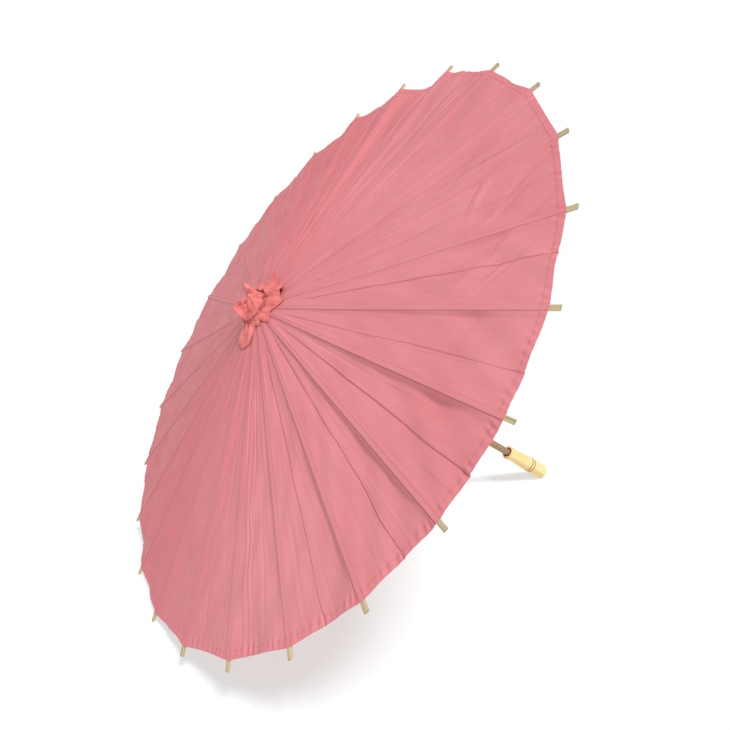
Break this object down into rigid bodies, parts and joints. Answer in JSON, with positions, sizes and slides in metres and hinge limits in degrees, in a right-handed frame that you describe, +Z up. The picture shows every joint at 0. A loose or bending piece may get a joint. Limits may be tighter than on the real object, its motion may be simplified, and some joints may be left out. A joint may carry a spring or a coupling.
{
  "type": "oil paper umbrella",
  "caption": "Bamboo parasol with a pleated coral sheet canopy, hinged ribs and struts, sliding runner, tied head cap and turned wooden handle.",
  "frame": {"origin": "middle of the bounding box at the ground, with the open parasol lying on two rib ends and the end of its handle", "axes": "+Z up from the ground, +X from the two resting rib ends towards the end of the handle, +Y across the canopy"},
  "size_m": [0.6524, 0.8108, 0.6375],
  "materials": {
    "canopy": "thin satin coral sheet, finely creased",
    "cap": "crumpled satin coral sheet",
    "cap_cord": "twisted cotton cord",
    "rib_bamboo": "split bamboo, matt",
    "shaft_bamboo": "smoked bamboo, satin lacquer",
    "handle_wood": "turned pale wood, satin varnish",
    "hub_wood": "turned wood, satin",
    "brass": "brushed sheet",
    "wire": "drawn wire"
  },
  "bodies": {
    "root": {"shaft": "shaft_bamboo", "handle": "handle_wood", "top_hub": "hub_wood", "hub_wire": "wire", "shaft_pegs": "rib_bamboo", "latch_pin": "wire", "canopy": "canopy", "head_cap": "cap", "cap_cord": "cap_cord"},
    "rib_01": {"rib_01": "rib_bamboo"},
    "strut_01": {"strut_01": "rib_bamboo"},
    "rib_02": {"rib_02": "rib_bamboo"},
    "strut_02": {"strut_02": "rib_bamboo"},
    "rib_03": {"rib_03": "rib_bamboo"},
    "strut_03": {"strut_03": "rib_bamboo"},
    "rib_04": {"rib_04": "rib_bamboo"},
    "strut_04": {"strut_04": "rib_bamboo"},
    "rib_05": {"rib_05": "rib_bamboo"},
    "strut_05": {"strut_05": "rib_bamboo"},
    "rib_06": {"rib_06": "rib_bamboo"},
    "strut_06": {"strut_06": "rib_bamboo"},
    "rib_07": {"rib_07": "rib_bamboo"},
    "strut_07": {"strut_07": "rib_bamboo"},
    "rib_08": {"rib_08": "rib_bamboo"},
    "strut_08": {"strut_08": "rib_bamboo"},
    "rib_09": {"rib_09": "rib_bamboo"},
    "strut_09": {"strut_09": "rib_bamboo"},
    "rib_10": {"rib_10": "rib_bamboo"},
    "strut_10": {"strut_10": "rib_bamboo"},
    "rib_11": {"rib_11": "rib_bamboo"},
    "strut_11": {"strut_11": "rib_bamboo"},
    "rib_12": {"rib_12": "rib_bamboo"},
    "strut_12": {"strut_12": "rib_bamboo"},
    "rib_13": {"rib_13": "rib_bamboo"},
    "strut_13": {"strut_13": "rib_bamboo"},
    "rib_14": {"rib_14": "rib_bamboo"},
    "strut_14": {"strut_14": "rib_bamboo"},
    "rib_15": {"rib_15": "rib_bamboo"},
    "strut_15": {"strut_15": "rib_bamboo"},
    "rib_16": {"rib_16": "rib_bamboo"},
    "strut_16": {"strut_16": "rib_bamboo"},
    "rib_17": {"rib_17": "rib_bamboo"},
    "strut_17": {"strut_17": "rib_bamboo"},
    "rib_18": {"rib_18": "rib_bamboo"},
    "strut_18": {"strut_18": "rib_bamboo"},
    "rib_19": {"rib_19": "rib_bamboo"},
    "strut_19": {"strut_19": "rib_bamboo"},
    "rib_20": {"rib_20": "rib_bamboo"},
    "strut_20": {"strut_20": "rib_bamboo"},
    "rib_21": {"rib_21": "rib_bamboo"},
    "strut_21": {"strut_21": "rib_bamboo"},
    "rib_22": {"rib_22": "rib_bamboo"},
    "strut_22": {"strut_22": "rib_bamboo"},
    "rib_23": {"rib_23": "rib_bamboo"},
    "strut_23": {"strut_23": "rib_bamboo"},
    "rib_24": {"rib_24": "rib_bamboo"},
    "strut_24": {"strut_24": "rib_bamboo"},
    "runner": {"runner": "hub_wood", "runner_wire": "wire"},
    "latch_catch": {"latch_catch": "brass"}
  },
  "joints": [
    {"name": "fold", "type": "hinge", "parent": "root", "child": "rib_01", "pos_m": [-0.12606, 0.00183, 0.37631], "axis": [-0.0807, 0.9914, -0.1026], "range_deg": [0, 75], "deforming": ["canopy", "latch_catch"]},
    {"name": "strut_01_joint", "type": "hinge", "parent": "rib_01", "child": "strut_01", "pos_m": [-0.0058, 0.02233, 0.47983], "axis": [-0.0807, 0.9914, -0.1026], "range_deg": [-150, 0]},
    {"name": "rib_02_hinge", "type": "hinge", "parent": "root", "child": "rib_02", "pos_m": [-0.12665, 0.00536, 0.37557], "axis": [-0.2366, 0.9239, -0.3008], "range_deg": [0, 75]},
    {"name": "strut_02_joint", "type": "hinge", "parent": "rib_02", "child": "strut_02", "pos_m": [-0.01294, 0.06546, 0.47074], "axis": [-0.2366, 0.9239, -0.3008], "range_deg": [-150, 0]},
    {"name": "rib_03_hinge", "type": "hinge", "parent": "root", "child": "rib_03", "pos_m": [-0.12778, 0.00852, 0.37413], "axis": [-0.3764, 0.7934, -0.4785], "range_deg": [0, 75]},
    {"name": "strut_03_joint", "type": "hinge", "parent": "rib_03", "child": "strut_03", "pos_m": [-0.02675, 0.10413, 0.4532], "axis": [-0.3764, 0.7934, -0.4785], "range_deg": [-150, 0]},
    {"name": "rib_04_hinge", "type": "hinge", "parent": "root", "child": "rib_04", "pos_m": [-0.12938, 0.01111, 0.3721], "axis": [-0.4905, 0.6088, -0.6236], "range_deg": [0, 75]},
    {"name": "strut_04_joint", "type": "hinge", "parent": "rib_04", "child": "strut_04", "pos_m": [-0.04627, 0.13571, 0.42838], "axis": [-0.4905, 0.6088, -0.6236], "range_deg": [-150, 0]},
    {"name": "rib_05_hinge", "type": "hinge", "parent": "root", "child": "rib_05", "pos_m": [-0.13133, 0.01293, 0.36962], "axis": [-0.5712, 0.3827, -0.7261], "range_deg": [0, 75]},
    {"name": "strut_05_joint", "type": "hinge", "parent": "rib_05", "child": "strut_05", "pos_m": [-0.07018, 0.15804, 0.39798], "axis": [-0.5712, 0.3827, -0.7261], "range_deg": [-150, 0]},
    {"name": "rib_06_hinge", "type": "hinge", "parent": "root", "child": "rib_06", "pos_m": [-0.13352, 0.01388, 0.36684], "axis": [-0.613, 0.1305, -0.7793], "range_deg": [0, 75]},
    {"name": "strut_06_joint", "type": "hinge", "parent": "rib_06", "child": "strut_06", "pos_m": [-0.09685, 0.1696, 0.36408], "axis": [-0.613, 0.1305, -0.7793], "range_deg": [-150, 0]},
    {"name": "rib_07_hinge", "type": "hinge", "parent": "root", "child": "rib_07", "pos_m": [-0.13578, 0.01388, 0.36397], "axis": [-0.613, -0.1305, -0.7793], "range_deg": [0, 75]},
    {"name": "strut_07_joint", "type": "hinge", "parent": "rib_07", "child": "strut_07", "pos_m": [-0.12445, 0.1696, 0.32898], "axis": [-0.613, -0.1305, -0.7793], "range_deg": [-150, 0]},
    {"name": "rib_08_hinge", "type": "hinge", "parent": "root", "child": "rib_08", "pos_m": [-0.13796, 0.01293, 0.36119], "axis": [-0.5712, -0.3827, -0.7261], "range_deg": [0, 75]},
    {"name": "strut_08_joint", "type": "hinge", "parent": "rib_08", "child": "strut_08", "pos_m": [-0.15112, 0.15804, 0.29508], "axis": [-0.5712, -0.3827, -0.7261], "range_deg": [-150, 0]},
    {"name": "rib_09_hinge", "type": "hinge", "parent": "root", "child": "rib_09", "pos_m": [-0.13992, 0.01111, 0.35871], "axis": [-0.4905, -0.6088, -0.6236], "range_deg": [0, 75]},
    {"name": "strut_09_joint", "type": "hinge", "parent": "rib_09", "child": "strut_09", "pos_m": [-0.17503, 0.13571, 0.26468], "axis": [-0.4905, -0.6088, -0.6236], "range_deg": [-150, 0]},
    {"name": "rib_10_hinge", "type": "hinge", "parent": "root", "child": "rib_10", "pos_m": [-0.14151, 0.00852, 0.35667], "axis": [-0.3764, -0.7934, -0.4785], "range_deg": [0, 75]},
    {"name": "strut_10_joint", "type": "hinge", "parent": "rib_10", "child": "strut_10", "pos_m": [-0.19455, 0.10413, 0.23986], "axis": [-0.3764, -0.7934, -0.4785], "range_deg": [-150, 0]},
    {"name": "rib_11_hinge", "type": "hinge", "parent": "root", "child": "rib_11", "pos_m": [-0.14264, 0.00536, 0.35524], "axis": [-0.2366, -0.9239, -0.3008], "range_deg": [0, 75]},
    {"name": "strut_11_joint", "type": "hinge", "parent": "rib_11", "child": "strut_11", "pos_m": [-0.20836, 0.06546, 0.22231], "axis": [-0.2366, -0.9239, -0.3008], "range_deg": [-150, 0]},
    {"name": "rib_12_hinge", "type": "hinge", "parent": "root", "child": "rib_12", "pos_m": [-0.14323, 0.00183, 0.35449], "axis": [-0.0807, -0.9914, -0.1026], "range_deg": [0, 75]},
    {"name": "strut_12_joint", "type": "hinge", "parent": "rib_12", "child": "strut_12", "pos_m": [-0.2155, 0.02233, 0.21323], "axis": [-0.0807, -0.9914, -0.1026], "range_deg": [-150, 0]},
    {"name": "rib_13_hinge", "type": "hinge", "parent": "root", "child": "rib_13", "pos_m": [-0.14323, -0.00183, 0.35449], "axis": [0.0807, -0.9914, 0.1026], "range_deg": [0, 75]},
    {"name": "strut_13_joint", "type": "hinge", "parent": "rib_13", "child": "strut_13", "pos_m": [-0.2155, -0.02233, 0.21323], "axis": [0.0807, -0.9914, 0.1026], "range_deg": [-150, 0]},
    {"name": "rib_14_hinge", "type": "hinge", "parent": "root", "child": "rib_14", "pos_m": [-0.14264, -0.00536, 0.35524], "axis": [0.2366, -0.9239, 0.3008], "range_deg": [0, 75]},
    {"name": "strut_14_joint", "type": "hinge", "parent": "rib_14", "child": "strut_14", "pos_m": [-0.20836, -0.06546, 0.22231], "axis": [0.2366, -0.9239, 0.3008], "range_deg": [-150, 0]},
    {"name": "rib_15_hinge", "type": "hinge", "parent": "root", "child": "rib_15", "pos_m": [-0.14151, -0.00852, 0.35667], "axis": [0.3764, -0.7934, 0.4785], "range_deg": [0, 75]},
    {"name": "strut_15_joint", "type": "hinge", "parent": "rib_15", "child": "strut_15", "pos_m": [-0.19455, -0.10413, 0.23986], "axis": [0.3764, -0.7934, 0.4785], "range_deg": [-150, 0]},
    {"name": "rib_16_hinge", "type": "hinge", "parent": "root", "child": "rib_16", "pos_m": [-0.13992, -0.01111, 0.35871], "axis": [0.4905, -0.6088, 0.6236], "range_deg": [0, 75]},
    {"name": "strut_16_joint", "type": "hinge", "parent": "rib_16", "child": "strut_16", "pos_m": [-0.17503, -0.13571, 0.26468], "axis": [0.4905, -0.6088, 0.6236], "range_deg": [-150, 0]},
    {"name": "rib_17_hinge", "type": "hinge", "parent": "root", "child": "rib_17", "pos_m": [-0.13796, -0.01293, 0.36119], "axis": [0.5712, -0.3827, 0.7261], "range_deg": [0, 75]},
    {"name": "strut_17_joint", "type": "hinge", "parent": "rib_17", "child": "strut_17", "pos_m": [-0.15112, -0.15804, 0.29508], "axis": [0.5712, -0.3827, 0.7261], "range_deg": [-150, 0]},
    {"name": "rib_18_hinge", "type": "hinge", "parent": "root", "child": "rib_18", "pos_m": [-0.13578, -0.01388, 0.36397], "axis": [0.613, -0.1305, 0.7793], "range_deg": [0, 75]},
    {"name": "strut_18_joint", "type": "hinge", "parent": "rib_18", "child": "strut_18", "pos_m": [-0.12445, -0.1696, 0.32898], "axis": [0.613, -0.1305, 0.7793], "range_deg": [-150, 0]},
    {"name": "rib_19_hinge", "type": "hinge", "parent": "root", "child": "rib_19", "pos_m": [-0.13352, -0.01388, 0.36684], "axis": [0.613, 0.1305, 0.7793], "range_deg": [0, 75]},
    {"name": "strut_19_joint", "type": "hinge", "parent": "rib_19", "child": "strut_19", "pos_m": [-0.09685, -0.1696, 0.36408], "axis": [0.613, 0.1305, 0.7793], "range_deg": [-150, 0]},
    {"name": "rib_20_hinge", "type": "hinge", "parent": "root", "child": "rib_20", "pos_m": [-0.13133, -0.01293, 0.36962], "axis": [0.5712, 0.3827, 0.7261], "range_deg": [0, 75]},
    {"name": "strut_20_joint", "type": "hinge", "parent": "rib_20", "child": "strut_20", "pos_m": [-0.07018, -0.15804, 0.39798], "axis": [0.5712, 0.3827, 0.7261], "range_deg": [-150, 0]},
    {"name": "rib_21_hinge", "type": "hinge", "parent": "root", "child": "rib_21", "pos_m": [-0.12938, -0.01111, 0.3721], "axis": [0.4905, 0.6088, 0.6236], "range_deg": [0, 75]},
    {"name": "strut_21_joint", "type": "hinge", "parent": "rib_21", "child": "strut_21", "pos_m": [-0.04627, -0.13571, 0.42838], "axis": [0.4905, 0.6088, 0.6236], "range_deg": [-150, 0]},
    {"name": "rib_22_hinge", "type": "hinge", "parent": "root", "child": "rib_22", "pos_m": [-0.12778, -0.00852, 0.37413], "axis": [0.3764, 0.7934, 0.4785], "range_deg": [0, 75]},
    {"name": "strut_22_joint", "type": "hinge", "parent": "rib_22", "child": "strut_22", "pos_m": [-0.02675, -0.10413, 0.4532], "axis": [0.3764, 0.7934, 0.4785], "range_deg": [-150, 0]},
    {"name": "rib_23_hinge", "type": "hinge", "parent": "root", "child": "rib_23", "pos_m": [-0.12665, -0.00536, 0.37557], "axis": [0.2366, 0.9239, 0.3008], "range_deg": [0, 75]},
    {"name": "strut_23_joint", "type": "hinge", "parent": "rib_23", "child": "strut_23", "pos_m": [-0.01294, -0.06546, 0.47074], "axis": [0.2366, 0.9239, 0.3008], "range_deg": [-150, 0]},
    {"name": "rib_24_hinge", "type": "hinge", "parent": "root", "child": "rib_24", "pos_m": [-0.12606, -0.00183, 0.37631], "axis": [0.0807, 0.9914, 0.1026], "range_deg": [0, 75]},
    {"name": "strut_24_joint", "type": "hinge", "parent": "rib_24", "child": "strut_24", "pos_m": [-0.0058, -0.02233, 0.47983], "axis": [0.0807, 0.9914, 0.1026], "range_deg": [-150, 0]},
    {"name": "runner_hinge", "type": "hinge", "parent": "strut_01", "child": "runner", "pos_m": [-0.07807, 0.00183, 0.33856], "axis": [-0.0807, 0.9914, -0.1026], "range_deg": [0, 75]},
    {"name": "catch_press", "type": "hinge", "parent": "root", "child": "latch_catch", "pos_m": [-0.03192, 0, 0.2879], "axis": [0, -1, 0], "range_deg": [0, 7.5], "stiffness_Nm_per_rad": 0.05, "springref_deg": -2.86}
  ],
  "couplings": [
    {"joint": "strut_01_joint", "follows": "fold", "ratio": -2},
    {"joint": "rib_02_hinge", "follows": "fold", "ratio": 1},
    {"joint": "strut_02_joint", "follows": "fold", "ratio": -2},
    {"joint": "rib_03_hinge", "follows": "fold", "ratio": 1},
    {"joint": "strut_03_joint", "follows": "fold", "ratio": -2},
    {"joint": "rib_04_hinge", "follows": "fold", "ratio": 1},
    {"joint": "strut_04_joint", "follows": "fold", "ratio": -2},
    {"joint": "rib_05_hinge", "follows": "fold", "ratio": 1},
    {"joint": "strut_05_joint", "follows": "fold", "ratio": -2},
    {"joint": "rib_06_hinge", "follows": "fold", "ratio": 1},
    {"joint": "strut_06_joint", "follows": "fold", "ratio": -2},
    {"joint": "rib_07_hinge", "follows": "fold", "ratio": 1},
    {"joint": "strut_07_joint", "follows": "fold", "ratio": -2},
    {"joint": "rib_08_hinge", "follows": "fold", "ratio": 1},
    {"joint": "strut_08_joint", "follows": "fold", "ratio": -2},
    {"joint": "rib_09_hinge", "follows": "fold", "ratio": 1},
    {"joint": "strut_09_joint", "follows": "fold", "ratio": -2},
    {"joint": "rib_10_hinge", "follows": "fold", "ratio": 1},
    {"joint": "strut_10_joint", "follows": "fold", "ratio": -2},
    {"joint": "rib_11_hinge", "follows": "fold", "ratio": 1},
    {"joint": "strut_11_joint", "follows": "fold", "ratio": -2},
    {"joint": "rib_12_hinge", "follows": "fold", "ratio": 1},
    {"joint": "strut_12_joint", "follows": "fold", "ratio": -2},
    {"joint": "rib_13_hinge", "follows": "fold", "ratio": 1},
    {"joint": "strut_13_joint", "follows": "fold", "ratio": -2},
    {"joint": "rib_14_hinge", "follows": "fold", "ratio": 1},
    {"joint": "strut_14_joint", "follows": "fold", "ratio": -2},
    {"joint": "rib_15_hinge", "follows": "fold", "ratio": 1},
    {"joint": "strut_15_joint", "follows": "fold", "ratio": -2},
    {"joint": "rib_16_hinge", "follows": "fold", "ratio": 1},
    {"joint": "strut_16_joint", "follows": "fold", "ratio": -2},
    {"joint": "rib_17_hinge", "follows": "fold", "ratio": 1},
    {"joint": "strut_17_joint", "follows": "fold", "ratio": -2},
    {"joint": "rib_18_hinge", "follows": "fold", "ratio": 1},
    {"joint": "strut_18_joint", "follows": "fold", "ratio": -2},
    {"joint": "rib_19_hinge", "follows": "fold", "ratio": 1},
    {"joint": "strut_19_joint", "follows": "fold", "ratio": -2},
    {"joint": "rib_20_hinge", "follows": "fold", "ratio": 1},
    {"joint": "strut_20_joint", "follows": "fold", "ratio": -2},
    {"joint": "rib_21_hinge", "follows": "fold", "ratio": 1},
    {"joint": "strut_21_joint", "follows": "fold", "ratio": -2},
    {"joint": "rib_22_hinge", "follows": "fold", "ratio": 1},
    {"joint": "strut_22_joint", "follows": "fold", "ratio": -2},
    {"joint": "rib_23_hinge", "follows": "fold", "ratio": 1},
    {"joint": "strut_23_joint", "follows": "fold", "ratio": -2},
    {"joint": "rib_24_hinge", "follows": "fold", "ratio": 1},
    {"joint": "strut_24_joint", "follows": "fold", "ratio": -2},
    {"joint": "runner_hinge", "follows": "fold", "ratio": 1}
  ]
}
